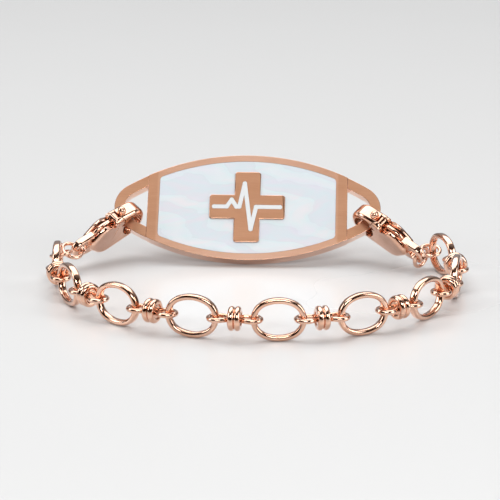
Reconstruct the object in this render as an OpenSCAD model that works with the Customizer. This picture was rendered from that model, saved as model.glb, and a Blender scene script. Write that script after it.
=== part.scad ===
// Medical alert bracelet: an oval tag plate with a pearl inlay, closed by a chain of
// flattened oval links, collared connectors, jump rings and two lobster clasps.
// It stands on a table as a closed loop, the plate leaning back on its lower edge.

/* [Tag plate] */
// Length of the plate, tip to tip
tag_length = 44.5; // [40:0.5:50]
// Height of the plate across its middle
tag_height = 18.8; // [17:0.2:21]
// Thickness of the plate
tag_thick = 2.2; // [1.9:0.1:2.8]
// Radius of the plate's rounded tips
tag_tip_r = 4.3; // [3.9:0.1:5]
// Width of the metal ring round each end slot
end_ring_w = 1.7; // [1.3:0.05:1.8]
// Thickness of that ring
end_ring_thick = 1.8; // [1.4:0.05:1.9]
// Width of each end slot, along the plate
slot_w = 3.85; // [3.3:0.05:4.2]
// Width of the bar between each end slot and the inlay
slot_bar_w = 1.95; // [1.6:0.05:2.4]
// How far the plate leans back from upright, in degrees
tag_lean = 37; // [30:1:42]
// Turn of the plate seen from above, in degrees
tag_yaw = -3; // [-6:1:2]

/* [Pearl inlay and emblem] */
// Width of the metal band left round the inlay
frame_band = 1.15; // [0.8:0.05:1.6]
// Corner radius of the inlay
pearl_corner_r = 0.7; // [0.4:0.1:1.2]
// Thickness of the inlay
pearl_thick = 0.9; // [0.7:0.1:1.2]
// Span of the cross emblem across its arms
cross_span = 12.6; // [10:0.2:13.4]
// Width of each arm of the cross
cross_arm_w = 4.3; // [3.4:0.1:4.8]
// Corner radius of the cross
cross_corner_r = 0.5; // [0.3:0.1:0.8]
// Thickness of the cross
cross_thick = 0.5; // [0.4:0.05:0.6]
// Width of the enamel pulse line
pulse_w = 0.7; // [0.5:0.05:0.9]
// Height of the pulse line's main peak above its base line
pulse_peak = 4.2; // [3:0.1:4.4]
// Thickness of the enamel
pulse_thick = 0.25; // [0.15:0.05:0.3]

/* [Chain links] */
// Length of a big link
link_length = 8.3; // [7.8:0.1:8.8]
// Height of a big link
link_height = 6.7; // [6.2:0.1:7]
// Radius of a big link's ends, at the middle of its wire
link_end_r = 2.7; // [2.3:0.05:2.75]
// Wire of a big link, measured across the ring
link_wire = 0.9; // [0.7:0.05:0.95]
// Wire of a big link, measured through the ring
link_wire_deep = 1.25; // [1:0.05:1.3]
// How far the wire's edges step in toward its side faces
link_step = 0.2; // [0.1:0.05:0.25]

/* [Connectors] */
// Length of a connector over its two end loops
connector_length = 8.6; // [8.3:0.05:9]
// Width of a connector's end loops
loop_w = 3.4; // [3.3:0.05:3.6]
// Wire of a connector's loops
loop_wire = 0.75; // [0.65:0.05:0.8]
// Width of the pinched waist
waist_w = 1.7; // [1.5:0.1:1.9]
// Outer diameter of the collar rings
collar_d = 3.75; // [3.5:0.05:4]
// Wire of the collar rings
collar_wire = 1; // [0.8:0.05:1.05]

/* [Jump rings] */
// Outer diameter of a jump ring
ring_d = 3.9; // [3.8:0.05:4.2]
// Wire of a jump ring
ring_wire = 0.65; // [0.5:0.05:0.7]

/* [Clasps] */
// Thickness of a clasp
clasp_thick = 2.9; // [2.6:0.1:3.2]
// Outer radius of the claw round the clasp's mouth
claw_r = 2.9; // [2.8:0.05:3.1]
// Wall of the claw
claw_wall = 0.85; // [0.75:0.05:0.95]
// Distance from the tail eye to the middle of the claw
claw_reach = 10.2; // [9.8:0.1:10.6]
// Outer radius of the tail eye
eye_r = 1.75; // [1.65:0.05:1.8]
// Radius of the tail eye's hole
eye_hole_r = 1; // [0.95:0.05:1.05]
// Thickness of the tail eye
eye_thick = 1.3; // [1.1:0.1:1.4]
// Width of the slot that the lever works in
lever_slot_w = 1.5; // [1.2:0.1:1.7]
// Diameter of the lever's rivet
rivet_d = 0.7; // [0.5:0.05:0.8]

/* [Hidden] */

GOLD = [0.79, 0.52, 0.42];
DEEP_GOLD = [0.72, 0.44, 0.34];
PEARL = [0.9, 0.9, 0.93];
ENAMEL = [0.98, 0.98, 0.98];

// Small gaps that keep pieces apart
seat_gap = 0.04;
link_gap = 0.08;
slot_gap = 0.1;
rivet_gap = 0.03;

big_fn = 240;
mid_fn = 96;
small_fn = 48;

// Middle of the standing loop in plan, from the point where the plate's foot meets the table.
// Y runs away from the viewer.
loop_middle = [1.52, -15.09];
// Turn of each big link seen from above, walking from the left jump rings round the front
link_yaws = [-89, -64, -38, -17, 1, 24, 51, 78, 111];

// Turns of each clasp on the plate's end ring: round the ring's tip, and in its own plane
clasp_turn = [46, 41];
clasp_swing = [-17, -9];
clasp_tilt = 6;

// Jump rings on each side, first the one in the clasp's eye, then the one in the end link.
// A way is the step from the piece before, in ring radii, and a facing is the ring's axis.
eye_ring_way = [[-0.77, -0.94, -0.05], [0.53, 0.39, -0.54]];
eye_ring_facing = [[0.38, -0.38, 0.85], [-0.74, 0.65, 0.18]];
link_ring_way = [[-1.01, -1.06, -0.05], [0.99, 1, 0.4]];
link_ring_facing = [[-0.22, 0.13, 0.97], [-0.02, -0.31, 0.95]];
end_link_way = [[-0.16, -0.185], [0.255, 0.075]];

// Turning matrices, the same turns as rotate() makes
function about_x(a) = [[1, 0, 0], [0, cos(a), -sin(a)], [0, sin(a), cos(a)]];
function about_z(a) = [[cos(a), -sin(a), 0], [sin(a), cos(a), 0], [0, 0, 1]];

// Four-arc oval: the radius of its long arcs, from half sizes and the radius of its ends
function long_r(half_l, half_w, end_r) =
    (pow(half_l - end_r, 2) / (half_w - end_r) + end_r + half_w) / 2;

// Oval of four tangent arcs, grown outwards by a distance, or inwards if that is negative
module four_arc_oval(half_l, half_w, end_r, grow) {
    r = long_r(half_l, half_w, end_r);
    joint_x = (half_l - end_r) * (r + grow) / (r - end_r);
    intersection() {
        translate([0, half_w - r]) circle(r + grow, $fn = big_fn);
        translate([0, r - half_w]) circle(r + grow, $fn = big_fn);
        square([2 * joint_x, 4 * half_w], center = true);
    }
    for (side = [-1, 1])
        translate([side * (half_l - end_r), 0]) circle(end_r + grow, $fn = mid_fn);
}

// Tag plate

slot_from_middle = tag_length / 2 - end_ring_w - slot_w;
pearl_half_w = slot_from_middle - slot_bar_w;

module tag_outline(grow) {
    four_arc_oval(tag_length / 2, tag_height / 2, tag_tip_r, grow);
}

// The outline beyond the slots' straight sides, or the part between them
module beyond_slots(grow) {
    difference() {
        tag_outline(grow);
        square([2 * slot_from_middle, 2 * tag_height], center = true);
    }
}

tag_r = long_r(tag_length / 2, tag_height / 2, tag_tip_r);
tag_lift = tag_height / 2 * cos(tag_lean) + tag_thick / 2 * sin(tag_lean);
tag_back = tag_height / 2 * sin(tag_lean) - tag_thick / 2 * cos(tag_lean);
tag_middle = [-loop_middle.x, tag_back - loop_middle.y, tag_lift];
tag_matrix = about_z(tag_yaw) * about_x(90 - tag_lean);

module in_tag_frame() {
    translate(tag_middle) rotate([90 - tag_lean, 0, tag_yaw]) children();
}

// Inlay outline: straight sides, long arcs that follow the plate's edge, rounded corners
module pearl_outline(grow) {
    half = pearl_half_w + grow;
    arc_r = tag_r - frame_band + grow;
    arc_y = tag_r - tag_height / 2;
    corner = pearl_corner_r + grow;
    corner_y = sqrt(pow(arc_r - corner, 2) - pow(half - corner, 2)) - arc_y;
    joint_x = (half - corner) * arc_r / (arc_r - corner);
    intersection() {
        translate([0, -arc_y]) circle(arc_r, $fn = big_fn);
        translate([0, arc_y]) circle(arc_r, $fn = big_fn);
        square([2 * joint_x, tag_height], center = true);
    }
    square([2 * half, 2 * corner_y], center = true);
    for (x = [-1, 1], y = [-1, 1])
        translate([x * (half - corner), y * corner_y]) circle(corner, $fn = small_fn);
}

face = tag_thick / 2;
pearl_floor = face - pearl_thick - seat_gap;
pearl_top = face - seat_gap / 2;
cross_proud = 0.2;
cross_floor = pearl_top + cross_proud - cross_thick;

module tag_plate() {
    color(GOLD) in_tag_frame() difference() {
        union() {
            linear_extrude(tag_thick, center = true) intersection() {
                tag_outline(0);
                square([2 * slot_from_middle, 2 * tag_height], center = true);
            }
            linear_extrude(end_ring_thick, center = true) difference() {
                beyond_slots(0);
                beyond_slots(-end_ring_w);
            }
        }
        translate([0, 0, pearl_floor]) linear_extrude(tag_thick) pearl_outline(seat_gap);
    }
}

module pearl_inlay() {
    color(PEARL) in_tag_frame() difference() {
        translate([0, 0, pearl_floor + seat_gap])
            linear_extrude(pearl_top - pearl_floor - seat_gap) pearl_outline(0);
        translate([0, 0, cross_floor - seat_gap]) linear_extrude(tag_thick) cross_outline(seat_gap);
    }
}

module cross_outline(grow) {
    corner = cross_corner_r + grow;
    for (turn = [0, 90]) rotate(turn) {
        square([cross_span - 2 * cross_corner_r, cross_arm_w + 2 * grow], center = true);
        square([cross_span + 2 * grow, cross_arm_w - 2 * cross_corner_r], center = true);
        for (x = [-1, 1], y = [-1, 1])
            translate([x * (cross_span / 2 - cross_corner_r), y * (cross_arm_w / 2 - cross_corner_r)])
                circle(corner, $fn = small_fn);
    }
}

// Pulse line: flat, a small bump, the main peak and dip, flat again
pulse_end = cross_span / 2 - cross_corner_r - 0.3;
pulse_points = [[-pulse_end, 0], [-3.4, 0], [-2.6, pulse_peak * 0.3], [-1.8, 0], [-1.3, 0],
    [-0.5, pulse_peak], [0.7, -pulse_peak * 0.95], [1.5, 0], [pulse_end, 0]];
pulse_swell = 0.03;

// Each turn of the line is rounded by a disc a little wider than the line
module pulse_outline(grow) {
    w = pulse_w + 2 * grow;
    for (i = [1 : len(pulse_points) - 1]) {
        start = pulse_points[i - 1];
        step = pulse_points[i] - start;
        translate(start) rotate(atan2(step.y, step.x))
            translate([norm(step) / 2, 0]) square([norm(step), w], center = true);
    }
    for (p = pulse_points) translate(p) circle(w / 2 + pulse_swell, $fn = small_fn);
}

module emblem_cross() {
    color(GOLD) in_tag_frame() difference() {
        translate([0, 0, cross_floor]) linear_extrude(cross_thick) cross_outline(0);
        translate([0, 0, cross_floor + cross_thick - pulse_thick - seat_gap])
            linear_extrude(cross_thick) pulse_outline(seat_gap);
    }
}

module emblem_line() {
    color(ENAMEL) in_tag_frame()
        translate([0, 0, cross_floor + cross_thick - pulse_thick])
            linear_extrude(pulse_thick) pulse_outline(0);
}

// Big links

link_reach = (link_length - link_wire) / 2;

module link_outline(grow) {
    four_arc_oval(link_reach, (link_height - link_wire) / 2, link_end_r, grow);
}

module link_layer(thick, wire) {
    linear_extrude(thick, center = true) difference() {
        link_outline(wire / 2);
        link_outline(-wire / 2);
    }
}

// The wire is full width in its middle half, and steps in toward its side faces
module big_link(i) {
    color(GOLD) translate([link_middles[i].x, link_middles[i].y, link_height / 2])
        rotate([90, 0, link_turns[i]]) {
            link_layer(link_wire_deep - 2 * link_step, link_wire);
            link_layer(link_wire_deep, link_wire - 2 * link_step);
        }
}

// Connectors

loop_r = (loop_w - loop_wire) / 2;
loop_x = (connector_length - loop_w) / 2;
waist_y = (waist_w - loop_wire) / 2;
collar_r = (collar_d - collar_wire) / 2;
collar_x = 0.47 * collar_wire;
leg_x = collar_x;
core_r = collar_r - 0.35 * collar_wire;
core_half = collar_x + 0.35 * collar_wire;
leg_turn = asin(loop_r / norm([loop_x - leg_x, waist_y])) - atan2(waist_y, loop_x - leg_x);

// An end loop and the two legs that run from it to the waist, which touch its circle
module loop_outline(grow) {
    touch = [loop_x - (loop_r + grow) * sin(leg_turn), (loop_r + grow) * cos(leg_turn)];
    waist = touch.y - (touch.x - leg_x) * tan(leg_turn);
    translate([loop_x, 0]) circle(loop_r + grow, $fn = mid_fn);
    polygon([[leg_x, -waist], [touch.x, -touch.y], [touch.x, touch.y], [leg_x, waist]]);
}

module connector(i) {
    color(GOLD) translate([connector_middles[i].x, connector_middles[i].y, link_height / 2])
        rotate(connector_turns[i]) {
            for (side = [0, 1]) mirror([side, 0, 0])
                linear_extrude(loop_wire, center = true) difference() {
                    loop_outline(loop_wire / 2);
                    loop_outline(-loop_wire / 2);
                }
            rotate([0, 90, 0]) cylinder(2 * core_half, r = core_r, center = true, $fn = mid_fn);
            for (side = [-1, 1]) translate([side * collar_x, 0, 0]) rotate([0, 90, 0])
                ring(collar_r, collar_wire);
        }
}

// Ring of round wire about Z, by the radius of its middle line
module ring(middle_r, wire) {
    rotate_extrude($fn = mid_fn) translate([middle_r, 0]) circle(wire / 2, $fn = small_fn);
}

// Clasps, drawn with the tail eye at the origin, the nose toward +X and the gate on the +Y side

claw_middle = [claw_reach, -0.75];
mouth_r = claw_r - claw_wall;
pivot = claw_middle + [0.25 - claw_r, claw_r - 0.55];
hub_r = 0.75;
cheek_r = 0.95;
belly_r = 3;
belly_middle = [4.9, -0.6];
neck_x = 2;
slot_floor_y = pivot.y - 0.5;
gate_reach = norm(pivot - claw_middle) + 1.4;
knob_r = 0.9;
knob_thick = 1.7;
knob_middle = claw_middle + [-1.1, claw_r + 0.6];
lever_thick = lever_slot_w - 2 * slot_gap;
lever_gap_r = cheek_r + slot_gap;
// Where the plate's end ring sits in the mouth
bar_seat = claw_middle + [-0.15, -0.55];

// Wedge from the claw's middle that holds the gate, from the level line to an angle
module gate_wedge(from, to) {
    far = 3 * claw_r;
    translate(claw_middle) polygon([[0, 0], far * [cos(from), sin(from)], far * [1, 1],
        far * [-1, 1.3], far * [cos(to), sin(to)]]);
}

module clasp_outline() {
    difference() {
        union() {
            translate(belly_middle) circle(belly_r, $fn = mid_fn);
            translate(claw_middle) circle(claw_r, $fn = mid_fn);
            translate(pivot) circle(cheek_r, $fn = small_fn);
            polygon([[neck_x, -1.5], [neck_x, 1.3], [belly_middle.x, belly_middle.y + belly_r],
                [pivot.x, pivot.y + cheek_r], [pivot.x, claw_middle.y],
                [claw_middle.x, claw_middle.y], [claw_middle.x, claw_middle.y - claw_r],
                [belly_middle.x, belly_middle.y - belly_r]]);
        }
        translate(claw_middle) circle(mouth_r, $fn = mid_fn);
        intersection() {
            gate_wedge(-20, 150);
            difference() {
                translate(pivot) circle(gate_reach + slot_gap, $fn = mid_fn);
                translate(pivot) circle(cheek_r, $fn = small_fn);
            }
        }
    }
}

module clasp_body_shape() {
    difference() {
        union() {
            linear_extrude(clasp_thick, center = true) clasp_outline();
            linear_extrude(eye_thick, center = true) {
                circle(eye_r, $fn = mid_fn);
                polygon([[0, -eye_r], [neck_x + 1, -2.2], [neck_x + 1, 1.6], [0, eye_r]]);
            }
        }
        cylinder(2 * clasp_thick, r = eye_hole_r, center = true, $fn = mid_fn);
        linear_extrude(lever_slot_w, center = true) {
            translate([neck_x + 0.6, slot_floor_y]) square([pivot.x - neck_x - 0.6, belly_r]);
            translate(pivot) circle(hub_r + slot_gap, $fn = small_fn);
            translate([pivot.x, pivot.y - hub_r - slot_gap]) square([claw_r, belly_r]);
        }
        translate(pivot)
            cylinder(2 * clasp_thick, r = rivet_d / 2 + rivet_gap, center = true, $fn = small_fn);
    }
}

// The gate closes the mouth between the cheeks and the nose, and its ends are arcs about the
// rivet, so it swings inward past the nose
module clasp_lever_shape() {
    difference() {
        union() {
            linear_extrude(clasp_thick - slot_gap, center = true) gate_outline();
            linear_extrude(knob_thick, center = true) difference() {
                union() {
                    translate(knob_middle) circle(knob_r, $fn = small_fn);
                    translate(knob_middle - [0.6, 1.6]) square([1.2, 1.6]);
                }
                translate(pivot) circle(lever_gap_r, $fn = small_fn);
                translate(claw_middle) circle(mouth_r, $fn = mid_fn);
            }
            linear_extrude(lever_thick, center = true) {
                translate(pivot) circle(hub_r, $fn = small_fn);
                polygon([pivot + [0, -0.55], pivot + [1.3, -0.75], pivot + [1.6, 0.4],
                    pivot + [0, hub_r]]);
            }
        }
        translate(pivot)
            cylinder(2 * clasp_thick, r = rivet_d / 2 + rivet_gap, center = true, $fn = small_fn);
    }
}

module gate_outline() {
    intersection() {
        gate_wedge(-20, 135);
        difference() {
            translate(claw_middle) circle(claw_r - slot_gap / 2, $fn = mid_fn);
            translate(claw_middle) circle(mouth_r, $fn = mid_fn);
        }
        difference() {
            translate(pivot) circle(gate_reach, $fn = mid_fn);
            translate(pivot) circle(lever_gap_r, $fn = small_fn);
        }
    }
}

module clasp_pin_shape() {
    translate(pivot) cylinder(clasp_thick + 0.1, r = rivet_d / 2, center = true, $fn = small_fn);
}

// Each clasp hangs on the plate's end ring. The left one is the mirror image of the right one
// in the plate's frame, with turns of its own.
ring_line_r = tag_tip_r - end_ring_w / 2;
module place_clasp(side) {
    turn = clasp_turn[side];
    in_tag_frame() mirror([1 - side, 0, 0])
        translate([tag_length / 2 - tag_tip_r + ring_line_r * cos(turn), -ring_line_r * sin(turn), 0])
            rotate([0, 0, 180 - turn]) rotate([90 + clasp_tilt, 0, 0])
                rotate(clasp_swing[side]) translate([-bar_seat.x, -bar_seat.y, 0]) children();
}

// The same placing, for the middle of the tail eye
function clasp_matrix(side) =
    about_z(180 - clasp_turn[side]) * about_x(90 + clasp_tilt) * about_z(clasp_swing[side]);
function eye_in_tag(side) =
    [tag_length / 2 - tag_tip_r + ring_line_r * cos(clasp_turn[side]),
        -ring_line_r * sin(clasp_turn[side]), 0]
    - clasp_matrix(side) * [bar_seat.x, bar_seat.y, 0];
function eye_middle(side) = let (p = eye_in_tag(side))
    tag_middle + tag_matrix * [(2 * side - 1) * p.x, p.y, p.z];

// Jump rings and the chain's two ends
ring_line = (ring_d - ring_wire) / 2;
eye_rings = [for (side = [0, 1]) eye_middle(side) + ring_line * eye_ring_way[side]];
link_rings = [for (side = [0, 1]) eye_rings[side] + ring_line * link_ring_way[side]];
chain_ends = [for (side = [0, 1])
    [link_rings[side].x, link_rings[side].y] + ring_line * end_link_way[side]];

module jump_ring(middle, facing) {
    color(DEEP_GOLD) translate(middle)
        rotate([0, acos(facing.z / norm(facing)), atan2(facing.y, facing.x)]) ring(ring_line, ring_wire);
}

// The chain is walked from its left end: along each link, then along the connector after it.
// The chosen turns are bent and turned as a whole until the walk meets the right end.
link_corner = norm([link_wire / 2 - link_step, link_wire_deep / 2]);
connector_step = 2 * (loop_x + loop_r - loop_wire / 2 - link_corner - link_gap);
function heading(a) = [cos(a), sin(a)];
function chain_turns(fit) = [for (yaw = link_yaws) yaw * fit.x + fit.y];
function chain_steps(turns) = [for (i = [0 : 2 * len(turns) - 2])
    i % 2 == 0 ? 2 * link_reach * heading(turns[i / 2])
        : connector_step * heading((turns[(i - 1) / 2] + turns[(i + 1) / 2]) / 2)];
function walked(steps, count) = count == 0 ? [0, 0] : walked(steps, count - 1) + steps[count - 1];
function chain_miss(fit) = let (steps = chain_steps(chain_turns(fit)))
    chain_ends[1] - chain_ends[0] - walked(steps, len(steps));
function fitted(fit, rounds) = rounds == 0 ? fit :
    let (nudge = 0.001,
        miss = chain_miss(fit),
        by_bend = (miss - chain_miss(fit + [nudge, 0])) / nudge,
        by_turn = (miss - chain_miss(fit + [0, nudge])) / nudge,
        scale = by_bend.x * by_turn.y - by_bend.y * by_turn.x)
    fitted(fit + [miss.x * by_turn.y - miss.y * by_turn.x,
        by_bend.x * miss.y - by_bend.y * miss.x] / scale, rounds - 1);

link_turns = chain_turns(fitted([1, 0], 8));
steps = chain_steps(link_turns);
link_middles = [for (i = [0 : len(link_yaws) - 1])
    chain_ends[0] + walked(steps, 2 * i) + steps[2 * i] / 2];
connector_middles = [for (i = [0 : len(link_yaws) - 2])
    chain_ends[0] + walked(steps, 2 * i + 1) + steps[2 * i + 1] / 2];
connector_turns = [for (i = [0 : len(link_yaws) - 2]) (link_turns[i] + link_turns[i + 1]) / 2];

SIDES = ["left", "right"];
tag_plate();
pearl_inlay();
emblem_cross();
emblem_line();
for (i = [1 : 9]) big_link(i - 1);
for (i = [1 : 8]) connector(i - 1);
for (side = [0, 1]) {
    jump_ring(link_rings[side], link_ring_facing[side]);
    jump_ring(eye_rings[side], eye_ring_facing[side]);
    color(GOLD) place_clasp(side) clasp_body_shape();
    color(DEEP_GOLD) place_clasp(side) clasp_lever_shape();
    color(DEEP_GOLD) place_clasp(side) clasp_pin_shape();
}
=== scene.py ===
import math

import bpy
from mathutils import Matrix, Vector


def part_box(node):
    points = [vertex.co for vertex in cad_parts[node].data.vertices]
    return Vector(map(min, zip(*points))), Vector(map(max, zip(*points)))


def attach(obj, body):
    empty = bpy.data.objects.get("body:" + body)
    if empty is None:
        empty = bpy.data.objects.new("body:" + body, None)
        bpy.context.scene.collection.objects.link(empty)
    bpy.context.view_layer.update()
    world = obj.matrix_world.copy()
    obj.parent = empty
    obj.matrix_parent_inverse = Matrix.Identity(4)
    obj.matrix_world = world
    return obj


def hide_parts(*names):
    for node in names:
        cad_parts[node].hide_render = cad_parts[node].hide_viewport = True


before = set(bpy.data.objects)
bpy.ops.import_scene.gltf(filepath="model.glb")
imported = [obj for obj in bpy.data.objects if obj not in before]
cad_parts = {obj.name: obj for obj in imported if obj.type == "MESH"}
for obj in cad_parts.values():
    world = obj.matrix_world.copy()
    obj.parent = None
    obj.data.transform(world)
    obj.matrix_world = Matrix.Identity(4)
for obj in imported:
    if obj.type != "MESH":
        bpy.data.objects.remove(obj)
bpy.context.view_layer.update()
mm = 0.001

# Camera and light

view = {
    "spot": (-1.08, -311.7, 96.46),  # mm
    "below": 16.04,  # degrees under the horizon
    "lens": 147.6, "film": 36,
    "reach": (0.01, 20),  # m
}
studio = {
    "lampColour": (0.955, 0.985, 1.0),
    "lean": (0, 0.5, 0.6),  # how much a direction's way to the back and its height count
    "sky": [  # that sum, colour
        (0.0, (0.02, 0.008, 0.003, 1)), (0.3, (0.06, 0.044, 0.036, 1)),
        (0.6, (0.295, 0.303, 0.315, 1)), (1.0, (0.49, 0.505, 0.525, 1)),
    ],
}
lamps = {  # place in mm, width and depth in mm, watts, aim in mm
    "roofBox": ((-20, 280, 600), (900, 700), 4.7, (0, 250, 0)),
    "leftBox": ((-460, -60, 240), (200, 300), 0.7, (0, 0, 10)),
    "rightBox": ((470, -160, 200), (300, 300), 1.05, (0, 0, 10)),
    "frontBox": ((40, -560, 420), (420, 150), 1.8, (0, 0, 8)),
}


def placeCamera():
    bpy.ops.object.camera_add(
        location=Vector(view["spot"]) * mm,
        rotation=(math.radians(90 - view["below"]), 0, 0),
    )
    camera = bpy.context.object
    camera.data.lens = view["lens"]
    camera.data.sensor_width = view["film"]
    camera.data.clip_start, camera.data.clip_end = view["reach"]
    bpy.context.scene.camera = camera


def hangLamps():
    for name, (spot, size, watts, aim) in lamps.items():
        bpy.ops.object.light_add(type="AREA", location=Vector(spot) * mm)
        lamp = bpy.context.object
        lamp.name = name
        lamp.data.shape = "RECTANGLE"
        lamp.data.size, lamp.data.size_y = size[0] * mm, size[1] * mm
        lamp.data.energy = watts
        lamp.data.color = studio["lampColour"]
        facing = Vector(aim) - Vector(spot)
        lamp.rotation_euler = facing.to_track_quat("-Z", "Y").to_euler()


def paintSky():
    world = bpy.data.worlds.new("studio")
    world.use_nodes = True
    nodes, links = world.node_tree.nodes, world.node_tree.links
    direction = nodes.new("ShaderNodeTexCoord")
    lean = nodes.new("ShaderNodeVectorMath")
    lean.operation = "DOT_PRODUCT"
    lean.inputs[1].default_value = studio["lean"]
    ramp = nodes.new("ShaderNodeValToRGB")
    stops = ramp.color_ramp.elements
    for index, (height, colour) in enumerate(studio["sky"]):
        stop = stops[index] if index < 2 else stops.new(height)
        stop.position = height
        stop.color = colour
    links.new(direction.outputs["Generated"], lean.inputs[0])
    links.new(lean.outputs["Value"], ramp.inputs[0])
    links.new(ramp.outputs[0], nodes["Background"].inputs["Color"])
    bpy.context.scene.world = world
    bpy.context.scene.view_settings.view_transform = "Standard"


placeCamera()
hangLamps()
paintSky()
print("studio ready")

# Materials


class Wire:  # a socket's value, so that shader maths reads as arithmetic
    def __init__(self, net, socket):
        self.net = net
        self.socket = socket

    def math(self, operation, first, second):
        return self.net.node("ShaderNodeMath", {"operation": operation}, {0: first, 1: second})

    def __add__(self, other):
        return self.math("ADD", self, other)

    def __mul__(self, other):
        return self.math("MULTIPLY", self, other)

    __radd__ = __add__
    __rmul__ = __mul__


class Finish:  # one material
    def __init__(self, name, **fixed):
        self.material = bpy.data.materials.new(name)
        self.material.use_nodes = True
        self.tree = self.material.node_tree
        self.shader = self.tree.nodes["Principled BSDF"]
        for socket, value in fixed.items():
            self.shader.inputs[socket.replace("_", " ")].default_value = value

    def node(self, kind, settings, values, output=0):
        made = self.tree.nodes.new(kind)
        for key, value in settings.items():
            if key == "stops":
                ramp = made.color_ramp
                for index, (place, colour) in enumerate(value):
                    stop = ramp.elements[index] if index < 2 else ramp.elements.new(place)
                    stop.position = place
                    stop.color = colour
            else:
                setattr(made, key, value)
        for key, value in values.items():
            if isinstance(value, Wire):
                self.tree.links.new(value.socket, made.inputs[key])
            else:
                made.inputs[key].default_value = value
        return Wire(self, made.outputs[output])

    def place(self, scale=(1, 1, 1), turn=(0, 0, 0), middle=(0, 0, 0)):
        spot = self.node("ShaderNodeTexCoord", {}, {}, "Object")
        centred = self.node("ShaderNodeMapping", {"vector_type": "TEXTURE"},
                            {"Vector": spot, "Location": middle, "Rotation": turn})
        return self.node("ShaderNodeVectorMath", {"operation": "MULTIPLY"}, {0: centred, 1: scale})

    def noise(self, where, scale, detail=3.0, roughness=0.5, distortion=0.0):
        return self.node("ShaderNodeTexNoise", {}, {"Vector": where, "Scale": scale, "Detail": detail,
                         "Roughness": roughness, "Distortion": distortion})

    def spread(self, value, low, high, fromLow=0.0, fromHigh=1.0):
        return self.node("ShaderNodeMapRange", {}, {"Value": value, "From Min": fromLow,
                         "From Max": fromHigh, "To Min": low, "To Max": high})

    def blend(self, mask, first, second):
        return self.node("ShaderNodeMix", {"data_type": "RGBA"}, {0: mask, 6: first, 7: second}, 2)

    def ramp(self, value, stops):
        return self.node("ShaderNodeValToRGB", {"stops": stops}, {0: value})

    def feed(self, socket, wire):
        self.tree.links.new(wire.socket, self.shader.inputs[socket])

    def relief(self, height, depth):
        self.feed("Normal", self.node("ShaderNodeBump", {}, {"Height": height, "Distance": depth}))


gold = {  # noise scales are per metre, depths in metres
    "light": (0.86, 0.53, 0.385, 1), "deep": (0.68, 0.335, 0.19, 1),
    "cloudScale": 180, "swirlScale": 1500, "hairScale": 2600,
    "hairStretch": (1, 9, 1), "hairTurn": (0.4, 0.3, 0.7), "hairDepth": 0.000004,
    "hairShare": 0.6, "swirlShare": 0.4, "toneFrom": (0.45, 0.95),
    "roughSpan": 0.12, "roughFrom": (0.35, 0.7),
}


def polishedGold(name, roughness):
    g = gold
    finish = Finish(name, Metallic=1.0, Coat_Weight=1.0, Coat_Roughness=0.05, Coat_IOR=1.8)
    where = finish.place()
    cloud = finish.noise(where, g["cloudScale"], 2)
    swirls = finish.noise(where, g["swirlScale"], 4, 0.6)
    hairlines = finish.noise(finish.place(g["hairStretch"], g["hairTurn"]), g["hairScale"], 3, 0.65)
    tone = finish.spread(cloud + swirls * g["swirlShare"], 0, 1, *g["toneFrom"])
    finish.feed("Base Color", finish.blend(tone, g["light"], g["deep"]))
    rub = hairlines * g["hairShare"] + swirls * g["swirlShare"]
    finish.feed("Roughness", finish.spread(rub, roughness, roughness + g["roughSpan"], *g["roughFrom"]))
    finish.relief(hairlines, g["hairDepth"])
    return finish.material


satin = {
    "light": (0.645, 0.345, 0.21, 1), "deep": (0.56, 0.275, 0.155, 1),
    "bandLight": (0.80, 0.505, 0.37, 1), "bandDeep": (0.72, 0.42, 0.3, 1),
    "grainScale": 420, "grainStretch": (1, 26, 26), "grainDepth": 0.000012,
    "streakScale": 90, "streakStretch": (1, 12, 12), "cloudScale": 70,
    "grainShare": 0.6, "streakShare": 0.5, "cloudShare": 0.4, "wornFrom": (0.5, 1.0),
    "fade": (0.05, 0.55), "bandEdge": (-0.0001, 0.0002),
    "roughness": (0.34, 0.5), "roughFrom": (0.3, 0.7),
}


def satinGold(name, middle, turn, bandEnd=None):  # past the band's end, along X, the tone is darker
    s = satin
    finish = Finish(name, Metallic=1.0)
    grain = finish.noise(finish.place(s["grainStretch"], turn, middle), s["grainScale"], 4, 0.6)
    streaks = finish.noise(finish.place(s["streakStretch"], turn, middle), s["streakScale"])
    cloud = finish.noise(finish.place(), s["cloudScale"], 2)
    mixed = grain * s["grainShare"] + streaks * s["streakShare"] + cloud * s["cloudShare"]
    worn = finish.spread(mixed, 0, 1, *s["wornFrom"])
    tone = finish.blend(worn, s["light"], s["deep"])
    if bandEnd:
        along = finish.node("ShaderNodeSeparateXYZ", {}, {0: finish.place(turn=turn, middle=middle)})
        out = along.math("ABSOLUTE", along, 0)
        band = finish.blend(worn, s["bandLight"], s["bandDeep"])
        band = finish.blend(finish.spread(out, *s["fade"], 0, bandEnd), band, tone)
        past = finish.spread(out, 0, 1, *(bandEnd + shift for shift in s["bandEdge"]))
        tone = finish.blend(past, band, tone)
    finish.feed("Base Color", tone)
    finish.feed("Roughness", finish.spread(grain, *s["roughness"], *s["roughFrom"]))
    finish.relief(grain, s["grainDepth"])
    return finish.material


shell = {
    "stretch": (1, 2.2, 1), "driftScale": 55, "driftWarp": 1.6, "bandScale": 42, "bandWarp": 9.0,
    "driftTones": [
        (0.25, (0.77, 0.74, 0.85, 1)), (0.75, (0.85, 0.85, 0.88, 1)), (0.4, (0.81, 0.82, 0.88, 1)),
        (0.5, (0.74, 0.85, 0.87, 1)), (0.6, (0.86, 0.80, 0.83, 1)),
    ],
    "bandTones": [
        (0.0, (0.79, 0.83, 0.89, 1)), (1.0, (0.87, 0.86, 0.88, 1)), (0.35, (0.83, 0.81, 0.88, 1)),
        (0.7, (0.77, 0.85, 0.87, 1)),
    ],
    "bandShare": (0.25, 0.7), "bandFrom": (0.35, 0.65), "roughness": (0.18, 0.34),
    "driftRise": 0.5, "depth": 0.00001,
}


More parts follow.
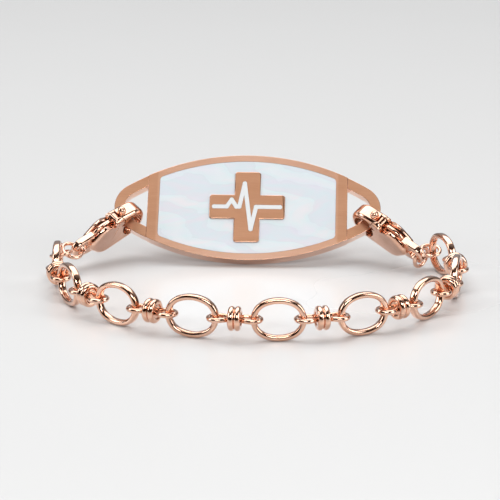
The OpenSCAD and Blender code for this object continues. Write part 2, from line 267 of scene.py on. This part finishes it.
def pearl(name, middle, turn):
    s = shell
    finish = Finish(name, Coat_Weight=0.8, Coat_Roughness=0.08, Specular_IOR_Level=0.6)
    flow = finish.place(s["stretch"], turn, middle)
    drift = finish.noise(flow, s["driftScale"], 3, 0.55, s["driftWarp"])
    bands = finish.node("ShaderNodeTexWave", {"wave_type": "BANDS", "bands_direction": "DIAGONAL"},
                        {"Vector": flow, "Scale": s["bandScale"], "Distortion": s["bandWarp"],
                         "Detail": 3.0, "Detail Scale": 1.4}, 1)
    tint = finish.ramp(drift, s["driftTones"])
    sheen = finish.ramp(bands, s["bandTones"])
    share = finish.spread(drift, *s["bandShare"], *s["bandFrom"])
    finish.feed("Base Color", finish.blend(share, tint, sheen))
    finish.feed("Roughness", finish.spread(bands, *s["roughness"]))
    finish.relief(bands + drift * s["driftRise"], s["depth"])
    return finish.material


glaze = {
    "light": (0.92, 0.92, 0.91, 1), "deep": (0.86, 0.87, 0.88, 1),
    "rippleScale": 900, "roughness": (0.16, 0.28), "depth": 0.00002,
}


def enamel(name):
    finish = Finish(name, Coat_Weight=0.9, Coat_Roughness=0.05)
    ripple = finish.noise(finish.place(), glaze["rippleScale"], 2)
    finish.feed("Base Color", finish.blend(ripple, glaze["light"], glaze["deep"]))
    finish.feed("Roughness", finish.spread(ripple, *glaze["roughness"]))
    finish.relief(ripple, glaze["depth"])
    return finish.material


table = {
    "light": (0.785, 0.765, 0.748, 1), "deep": (0.755, 0.735, 0.723, 1),
    "mottleScale": 9, "roughness": (0.22, 0.3), "size": 6, "middle": (0, 1.5, 0),
}


def paleFloor(name):
    finish = Finish(name, Specular_IOR_Level=0.5)
    mottle = finish.noise(finish.place(), table["mottleScale"], 4)
    finish.feed("Base Color", finish.blend(mottle, table["light"], table["deep"]))
    finish.feed("Roughness", finish.spread(mottle, *table["roughness"]))
    return finish.material


tag = {  # mm and degrees
    "length": 44.5, "height": 18.8, "thick": 2.2, "tipRadius": 4.3,
    "lean": 37, "yaw": -3, "step": 1.5,  # the step is one stride of the outline's spin
    "ringWidth": 1.7, "ringThick": 1.8, "slotX": 16.7, "endBlock": (20, 40, 2), "edge": 0.32,
    "band": 1.15, "pearlHalf": 14.75, "pearlCorner": 0.7, "pearlFloor": 0.16, "pearlTop": 1.08,
    "gap": 0.04, "cutTo": 3, "bandPast": 0.3,
}


def middleOf(node):
    low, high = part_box(node)
    return (low + high) / 2


tagMiddle = middleOf("tag_plate")
tagTurn = (math.radians(90 - tag["lean"]), 0, math.radians(tag["yaw"]))
tagPlace = (Matrix.Translation(tagMiddle) @ Matrix.Rotation(tagTurn[2], 4, "Z")
            @ Matrix.Rotation(tagTurn[0], 4, "X"))

chainGold = polishedGold("polishedRoseGold", 0.07)
ringGold = polishedGold("ringRoseGold", 0.12)
tagSatin = satinGold("satinRoseGold", tagMiddle, tagTurn, (tag["pearlHalf"] + tag["bandPast"]) * mm)
emblemSatin = satinGold("emblemRoseGold", tagMiddle, tagTurn)
pearlShell = pearl("motherOfPearl", tagMiddle, tagTurn)
whiteEnamel = enamel("whiteEnamel")
print("materials ready")

# Shaping helpers. Pieces are shaped in millimetres, then brought to their place in metres.

weld = 0.002  # points closer than this are one


def deselect():
    bpy.ops.object.select_all(action="DESELECT")


def only(piece):
    deselect()
    piece.select_set(True)
    bpy.context.view_layer.objects.active = piece
    return piece


def mode(name):
    bpy.ops.object.mode_set(mode=name)


def selectAll():
    bpy.ops.mesh.select_all(action="SELECT")


def applyPlace():
    bpy.ops.object.transform_apply(location=True, rotation=True, scale=True)


def added(scale=(1, 1, 1)):  # the primitive that was just added, with its size and turn in its mesh
    piece = bpy.context.object
    piece.scale = scale
    applyPlace()
    return piece


def pickEdges(piece, test):
    mode("EDIT")
    bpy.ops.mesh.select_mode(type="EDGE")
    bpy.ops.mesh.select_all(action="DESELECT")
    mode("OBJECT")
    spots = [v.co for v in piece.data.vertices]
    for edge in piece.data.edges:
        edge.select = test(spots[edge.vertices[0]], spots[edge.vertices[1]])
    mode("EDIT")


def modify(piece, kind, **settings):
    only(piece)
    bpy.ops.object.modifier_add(type=kind)
    modifier = piece.modifiers[-1]
    for key, value in settings.items():
        setattr(modifier, key, value)
    bpy.ops.object.modifier_apply(modifier=modifier.name)
    return piece


def soften(piece, width, segments=4, sharp=40):  # rounds the edges that turn by more than sharp degrees
    return modify(piece, "BEVEL", width=width, segments=segments, limit_method="ANGLE",
                  angle_limit=math.radians(sharp))


def combine(operation, piece, *tools):
    for tool in tools:
        modify(piece, "BOOLEAN", operation=operation, solver="EXACT", object=tool)
        bpy.data.objects.remove(tool)
    return piece


def cut(piece, *tools):
    return combine("DIFFERENCE", piece, *tools)


def outward():
    bpy.ops.mesh.normals_make_consistent(inside=False)


def tidyShell(piece):
    only(piece)
    mode("EDIT")
    selectAll()
    bpy.ops.mesh.remove_doubles(threshold=weld)
    outward()
    mode("OBJECT")
    return piece


def joined(*solids):
    deselect()
    for solid in solids:
        solid.select_set(True)
    bpy.context.view_layer.objects.active = solids[0]
    bpy.ops.object.join()
    return solids[0]


def twin(piece):
    other = piece.copy()
    other.data = piece.data.copy()
    bpy.context.collection.objects.link(other)
    return other


def settle(piece, place, name, body, slot, *nodes):
    only(piece)
    piece.matrix_world = place @ Matrix.Scale(mm, 4)
    applyPlace()
    mode("EDIT")
    selectAll()
    outward()
    mode("OBJECT")
    piece.name = name
    piece.data.name = name
    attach(piece, body)
    if nodes:
        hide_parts(*nodes)
    return piece


def evenFlats(piece):  # flat faces shade flat beside their soft edges
    return modify(piece, "WEIGHTED_NORMAL", keep_sharp=True, weight=100)


def finishWith(piece, *materials):
    piece.data.materials.clear()
    for material in materials:
        piece.data.materials.append(material)
    return piece


def smoothTo(piece, degrees=42):
    only(piece)
    bpy.ops.object.shade_smooth_by_angle(angle=math.radians(degrees))
    return piece


def satinFlats(piece, flat, degrees):  # satin on the level faces, polish on the rest
    level = 0.98
    finishWith(piece, flat, chainGold)
    for face in piece.data.polygons:
        face.material_index = 0 if abs(face.normal.z) > level else 1
    return smoothTo(piece, degrees)


def ovalArcs(halfLength, halfHeight, endRadius):  # two long arcs and two short ones that meet smoothly
    tipX = halfLength - endRadius
    long = (tipX ** 2 / (halfHeight - endRadius) + endRadius + halfHeight) / 2
    arcY = long - halfHeight
    lean = math.degrees(math.atan2(arcY, tipX))
    return [((tipX, 0), lean), ((0, -arcY), 180 - 2 * lean), ((-tipX, 0), 2 * lean),
            ((0, arcY), 180 - 2 * lean), ((tipX, 0), lean)]


def spinArcs(arcs, degreesPerStep):
    for (x, y), degrees in arcs:
        steps = max(3, round(degrees / degreesPerStep))
        bpy.ops.mesh.spin(steps=steps, angle=-math.radians(degrees), center=(x, y, 0), axis=(0, 0, 1))


# Big links: an oval of flattened wire, standing on edge

linkSizes = {
    "halfLength": 3.7, "halfHeight": 2.9, "endRadius": 2.7,
    "wire": 0.9, "deep": 1.25, "rounding": 0.42, "count": 9,
    "step": 4.5,  # degrees
}


def bigLink():
    s = linkSizes
    deselect()
    bpy.ops.mesh.primitive_plane_add(size=1, location=(s["halfLength"], 0, 0), rotation=(math.pi / 2, 0, 0))
    link = added((s["wire"], s["deep"], 1))
    mode("EDIT")
    selectAll()
    bpy.ops.mesh.bevel(offset=s["rounding"], affect="VERTICES", segments=5)
    selectAll()
    bpy.ops.mesh.delete(type="ONLY_FACE")
    selectAll()
    spinArcs(ovalArcs(s["halfLength"], s["halfHeight"], s["endRadius"]), s["step"])
    mode("OBJECT")
    tidyShell(link)
    bpy.ops.object.shade_smooth()
    return finishWith(link, chainGold)


def turnOf(node):  # the way a link or connector runs, seen from above
    points = [v.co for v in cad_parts[node].data.vertices]
    middle = middleOf(node)
    along = sum((p.x - middle.x) ** 2 - (p.y - middle.y) ** 2 for p in points)
    across = sum(2 * (p.x - middle.x) * (p.y - middle.y) for p in points)
    return 0.5 * math.atan2(across, along)


def standOn(node, upright):
    turn = Matrix.Rotation(turnOf(node), 4, "Z")
    if upright:
        turn = turn @ Matrix.Rotation(math.pi / 2, 4, "X")
    return Matrix.Translation(middleOf(node)) @ turn


pattern = bigLink()
for index in range(1, linkSizes["count"] + 1):
    node = f"big_link_{index}"
    settle(twin(pattern), standOn(node, True), f"link_{index}", "bracelet", "polished_rose_gold", node)
bpy.data.objects.remove(pattern)
print("links ready")

# Connectors: two pinched loops lying flat, and two collars round the waist

connectorSizes = {
    "loopX": 2.6, "loopRadius": 1.325, "wire": 0.75, "waistY": 0.475, "waistX": 0.47, "legEnd": 0.3,
    "collarX": 0.47, "collarRadius": 1.375, "collarWire": 1.0,
    "coreRadius": 1.025, "coreHalf": 0.82, "coreEdge": 0.12, "count": 8,
    "step": 6,  # degrees
}


def connectorLoops():
    s = connectorSizes
    deselect()
    bpy.ops.mesh.primitive_circle_add(vertices=20, radius=s["wire"] / 2, rotation=(math.pi / 2, 0, 0),
                                      location=(s["loopX"] + s["loopRadius"], 0, 0))
    loops = added()
    reach = s["loopX"] - s["waistX"]
    lean = math.asin(s["loopRadius"] / math.hypot(reach, s["waistY"])) - math.atan2(s["waistY"], reach)
    mode("EDIT")
    selectAll()
    spinArcs([((s["loopX"], 0), 90 + math.degrees(lean))], s["step"])
    leg = (s["loopX"] - s["loopRadius"] * math.sin(lean) - s["legEnd"]) / math.cos(lean)
    bpy.ops.mesh.extrude_region_move(TRANSFORM_OT_translate={
        "value": (-leg * math.cos(lean), -leg * math.sin(lean), 0)})
    bpy.ops.mesh.edge_face_add()
    mode("OBJECT")
    modify(loops, "MIRROR", use_axis=(True, True, False), merge_threshold=0.005)
    return tidyShell(loops)


def collar(side):
    s = connectorSizes
    deselect()
    bpy.ops.mesh.primitive_circle_add(vertices=24, radius=s["collarWire"] / 2,
                                      location=(side * s["collarX"], s["collarRadius"], 0))
    ring = added()
    mode("EDIT")
    selectAll()
    bpy.ops.mesh.spin(steps=48, angle=math.radians(360), center=(0, 0, 0), axis=(1, 0, 0))
    mode("OBJECT")
    return tidyShell(ring)


def connectorCore():  # the solder between the collars
    s = connectorSizes
    deselect()
    bpy.ops.mesh.primitive_cylinder_add(vertices=32, radius=s["coreRadius"], depth=2 * s["coreHalf"],
                                        rotation=(0, math.pi / 2, 0))
    return soften(added(), s["coreEdge"], segments=3, sharp=30)


def connector():
    whole = joined(connectorLoops(), collar(-1), collar(1), connectorCore())
    bpy.ops.object.shade_smooth()
    return finishWith(whole, chainGold)


pattern = connector()
for index in range(1, connectorSizes["count"] + 1):
    node = f"connector_{index}"
    settle(twin(pattern), standOn(node, False), f"collared_connector_{index}", "bracelet",
           "polished_rose_gold", node)
bpy.data.objects.remove(pattern)
print("connectors ready")

# Tag plate


def ovalPrism(grow, bottom, top, keep=(), corner=0):  # keep: cuts across, at x, that leave the inner side
    deselect()
    halfLength, halfHeight = tag["length"] / 2, tag["height"] / 2
    bpy.ops.mesh.primitive_plane_add(size=0.1, location=(halfLength + grow, 0, bottom))
    prism = added()
    mode("EDIT")
    selectAll()
    bpy.ops.mesh.merge(type="CENTER")
    selectAll()
    spinArcs(ovalArcs(halfLength, halfHeight, tag["tipRadius"]), tag["step"])
    selectAll()
    bpy.ops.mesh.remove_doubles(threshold=weld)
    selectAll()
    bpy.ops.mesh.edge_face_add()
    bpy.ops.mesh.extrude_region_move(TRANSFORM_OT_translate={"value": (0, 0, top - bottom)})
    for x, side in keep:
        selectAll()
        bpy.ops.mesh.bisect(plane_co=(x, 0, 0), plane_no=(side, 0, 0), use_fill=True, clear_outer=True)
    mode("OBJECT")
    tidyShell(prism)
    if corner:
        pickEdges(prism, lambda a, b: abs(a.z - b.z) > 0.1 and any(abs(a.x - x) < 0.01 for x, side in keep))
        bpy.ops.mesh.bevel(offset=corner, segments=6)
        mode("OBJECT")
    return prism


def block(middle, size):
    deselect()
    bpy.ops.mesh.primitive_cube_add(size=1, location=middle)
    return added(size)


def tagPlate():
    half = tag["thick"] / 2
    plate = ovalPrism(0, -half, half)
    slots = [ovalPrism(-tag["ringWidth"], -tag["cutTo"], tag["cutTo"], [(side * tag["slotX"], -side)])
             for side in (-1, 1)]
    step = (tag["thick"] - tag["ringThick"]) / 2
    wide, _, high = tag["endBlock"]
    steps = [block((side * (tag["slotX"] + wide / 2), 0, face * (half + high / 2 - step)), tag["endBlock"])
             for side in (-1, 1) for face in (-1, 1)]
    cut(plate, *slots, *steps)
    soften(plate, tag["edge"], segments=3)
    ends = [(side * (tag["pearlHalf"] + tag["gap"]), side) for side in (-1, 1)]
    pocket = ovalPrism(tag["gap"] - tag["band"], tag["pearlFloor"], tag["cutTo"], ends,
                       tag["pearlCorner"] + tag["gap"])
    return satinFlats(cut(plate, pocket), tagSatin, degrees=32)


evenFlats(settle(tagPlate(), tagPlace, "plate", "bracelet", "polished_rose_gold", "tag_plate"))
print("plate ready")

# Emblem: the cross keeps its place in the pearl, with a soft polished rim

crossSizes = {"span": 12.6, "arm": 4.3, "rim": 0.1, "proud": 0.2, "rimReach": 0.16}


def nodeCopy(node):  # a CAD node's mesh, merged, in millimetres
    piece = bpy.data.objects.new(node + "_copy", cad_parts[node].data.copy())
    bpy.context.collection.objects.link(piece)
    only(piece)
    piece.scale = (1 / mm,) * 3
    applyPlace()
    bpy.ops.mesh.customdata_custom_splitnormals_clear()
    mode("EDIT")
    selectAll()
    bpy.ops.mesh.remove_doubles(threshold=weld)
    mode("OBJECT")
    return piece


def emblemCross():
    cross = nodeCopy("emblem_cross")
    cross.matrix_world = Matrix.Scale(1 / mm, 4) @ tagPlace.inverted() @ Matrix.Scale(mm, 4)
    applyPlace()
    mode("EDIT")
    selectAll()
    bpy.ops.mesh.dissolve_limited(angle_limit=math.radians(1))
    mode("OBJECT")
    half, arm = crossSizes["span"] / 2, crossSizes["arm"] / 2
    top = tag["pearlTop"] + crossSizes["proud"] - 0.01

    def onRim(p):
        x, y = abs(p.x), abs(p.y)
        inside = max(min(half - x, arm - y), min(half - y, arm - x))
        return p.z > top and inside < crossSizes["rimReach"]

    pickEdges(cross, lambda a, b: onRim(a) and onRim(b))
    bpy.ops.mesh.bevel(offset=crossSizes["rim"], segments=3)
    mode("OBJECT")
    return satinFlats(cross, emblemSatin, degrees=35)


evenFlats(settle(emblemCross(), tagPlace, "cross_emblem", "bracelet", "polished_rose_gold", "emblem_cross"))
print("emblem ready")

# Clasps, drawn with the tail eye at the origin, the nose toward +X and the gate on the +Y side

pivot = (7.55, 1.6)
claw = (10.2, -0.75)
clasp = {  # discs are x, y, radius, thickness and corners; blocks are middle and size
    "form": [(2.75, -0.2, 1.5, 2.9, 64), (4.9, -0.6, 3.0, 2.9, 64), (*pivot, 0.95, 2.9, 64),
             (*claw, 2.9, 2.9, 96)],
    "tail": [(0, 0, 1.75, 1.3, 64), (3.4, -0.3, 2.0, 1.3, 64)], "tailEdge": 0.3,
    "shoulder": [(2.4, -0.1, 1.15, 2.1, 64), (3.8, -0.4, 2.0, 2.1, 64)], "shoulderEdge": 0.35,
    "ridge": [(3.1, 0.3, 1.0, 0.62, 64), (4.9, -0.6, 2.9, 0.62, 96), (5.8, 1.5, 0.75, 0.62, 64)],
    "ridgeEdge": 0.22,
    "stem": [(*pivot, 0.75, 1.3, 48), (8.7, 1.3, 0.42, 1.3, 24)],
    "foot": [(8.95, 2.5, 0.4, 0.9, 32), (9.15, 1.55, 0.6, 1.3, 32)],
    "knob": (8.95, 2.65, 0), "knobRadius": 0.66, "knobThick": 1.5,
    "eye": (0, 0, 1.0, 6, 64), "mouth": (*claw, 2.05, 8, 96), "rivet": (*pivot, 0.38, 8, 32),
    "slot": ((5.075, 3.1, 0), (4.95, 4, 1.5)), "slotHub": (*pivot, 0.85, 1.5, 48),
    "slotNose": ((9.05, 2.75, 0), (3, 4, 1.5)),
    "bodyRoom": (*pivot, 5.04, 8, 96), "bodyCheek": (*pivot, 0.95, 10, 64), "bodyFan": 150,
    "gateRoom": (*pivot, 4.94, 8, 96), "gateCheek": (*pivot, 1.05, 10, 64), "gateFan": 135,
    "fanFrom": -20,  # degrees round the claw's middle, as the two fans
    "pillow": 0.72, "softEdge": 0.07, "seat": (10.05, -1.3), "tilt": 6,
    "lie": {"left": (46, -17), "right": (41, -9)},  # turn round the end ring, swing in its own plane
}


def claspPlace(side):
    turn, swing = (math.radians(a) for a in clasp["lie"][side])
    ringLine = tag["tipRadius"] - tag["ringWidth"] / 2
    hook = (tag["length"] / 2 - tag["tipRadius"] + ringLine * math.cos(turn), -ringLine * math.sin(turn), 0)
    seatX, seatY = clasp["seat"]
    lie = (Matrix.Translation(hook) @ Matrix.Rotation(math.pi - turn, 4, "Z")
           @ Matrix.Rotation(math.radians(90 + clasp["tilt"]), 4, "X") @ Matrix.Rotation(swing, 4, "Z")
           @ Matrix.Translation((-seatX, -seatY, 0)))
    if side == "left":
        lie = Matrix.Scale(-1, 4, (1, 0, 0)) @ lie
    return tagPlace @ Matrix.Scale(mm, 4) @ lie @ Matrix.Scale(1 / mm, 4)


def disc(x, y, radius, thick, corners):
    deselect()
    bpy.ops.mesh.primitive_cylinder_add(vertices=corners, radius=radius, depth=thick, location=(x, y, 0))
    return added()


def hullOf(discs):  # the skin stretched round a row of discs
    shape = joined(*(disc(*sizes) for sizes in discs))
    mode("EDIT")
    selectAll()
    bpy.ops.mesh.convex_hull()
    selectAll()
    bpy.ops.mesh.dissolve_limited(angle_limit=math.radians(0.6))
    mode("OBJECT")
    return shape


def fanRoom(room, cheek, fanTo):  # the part of a disc round the rivet that the gate may fill
    piece = disc(*room)
    mode("EDIT")
    for angle, side in ((clasp["fanFrom"], 1), (fanTo, -1)):
        lean = math.radians(angle)
        selectAll()
        bpy.ops.mesh.bisect(plane_co=(*claw, 0), use_fill=True, clear_outer=True,
                            plane_no=(side * math.sin(lean), -side * math.cos(lean), 0))
    mode("OBJECT")
    return cut(tidyShell(piece), disc(*cheek))


def claspBlank():  # the soft-edged outer form that the body and the gate are both cut from
    return soften(hullOf(clasp["form"]), clasp["pillow"], segments=6)


def softCut(piece):
    soften(piece, clasp["softEdge"], segments=2, sharp=50)
    return finishWith(smoothTo(piece), chainGold)


def claspBody():
    c = clasp
    body = claspBlank()
    for part in ("tail", "shoulder"):
        combine("UNION", body, soften(hullOf(c[part]), c[part + "Edge"]))
    cut(body, disc(*c["eye"]), disc(*c["mouth"]), fanRoom(c["bodyRoom"], c["bodyCheek"], c["bodyFan"]),
        block(*c["slot"]), disc(*c["slotHub"]), block(*c["slotNose"]), disc(*c["rivet"]))
    softCut(body)
    ridge = smoothTo(soften(hullOf(c["ridge"]), c["ridgeEdge"]))
    return finishWith(joined(body, ridge), chainGold)


def claspLever():
    c = clasp
    gate = combine("INTERSECT", claspBlank(), fanRoom(c["gateRoom"], c["gateCheek"], c["gateFan"]))
    softCut(cut(gate, disc(*c["mouth"])))
    stem = cut(hullOf(c["stem"]), disc(*c["rivet"]))
    deselect()
    bpy.ops.mesh.primitive_uv_sphere_add(segments=32, ring_count=20, radius=c["knobRadius"],
                                         location=c["knob"])
    knob = added((1, 1, c["knobThick"] / 2 / c["knobRadius"]))
    foot = cut(hullOf(c["foot"]), disc(*c["mouth"]), disc(*c["gateCheek"]))
    return finishWith(smoothTo(joined(gate, stem, knob, foot)), chainGold)


bodyPattern, leverPattern = claspBody(), claspLever()
for side in ("left", "right"):
    body = settle(twin(bodyPattern), claspPlace(side), f"clasp_{side}", "bracelet", "polished_rose_gold",
                  f"clasp_body_{side}")
    gate = settle(twin(leverPattern), claspPlace(side), f"clasp_gate_{side}", f"lever_{side}",
                  "polished_rose_gold", f"clasp_lever_{side}")
    evenFlats(body)
    evenFlats(gate)
bpy.data.objects.remove(bodyPattern)
bpy.data.objects.remove(leverPattern)
print("clasps ready")

# Nodes that keep their own shape

kept = {"pearl_inlay": pearlShell, "emblem_line": whiteEnamel}
for side in ("left", "right"):
    kept[f"clasp_pin_{side}"] = ringGold
    for index in (1, 2):
        kept[f"jump_ring_{side}_{index}"] = ringGold
for node, material in kept.items():
    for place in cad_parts[node].material_slots:
        place.material = material

# Floor

deselect()
bpy.ops.mesh.primitive_plane_add(size=table["size"], location=table["middle"])
floor = bpy.context.object
floor.name = "floor"
finishWith(floor, paleFloor("paleFloor"))
print("finishes ready")
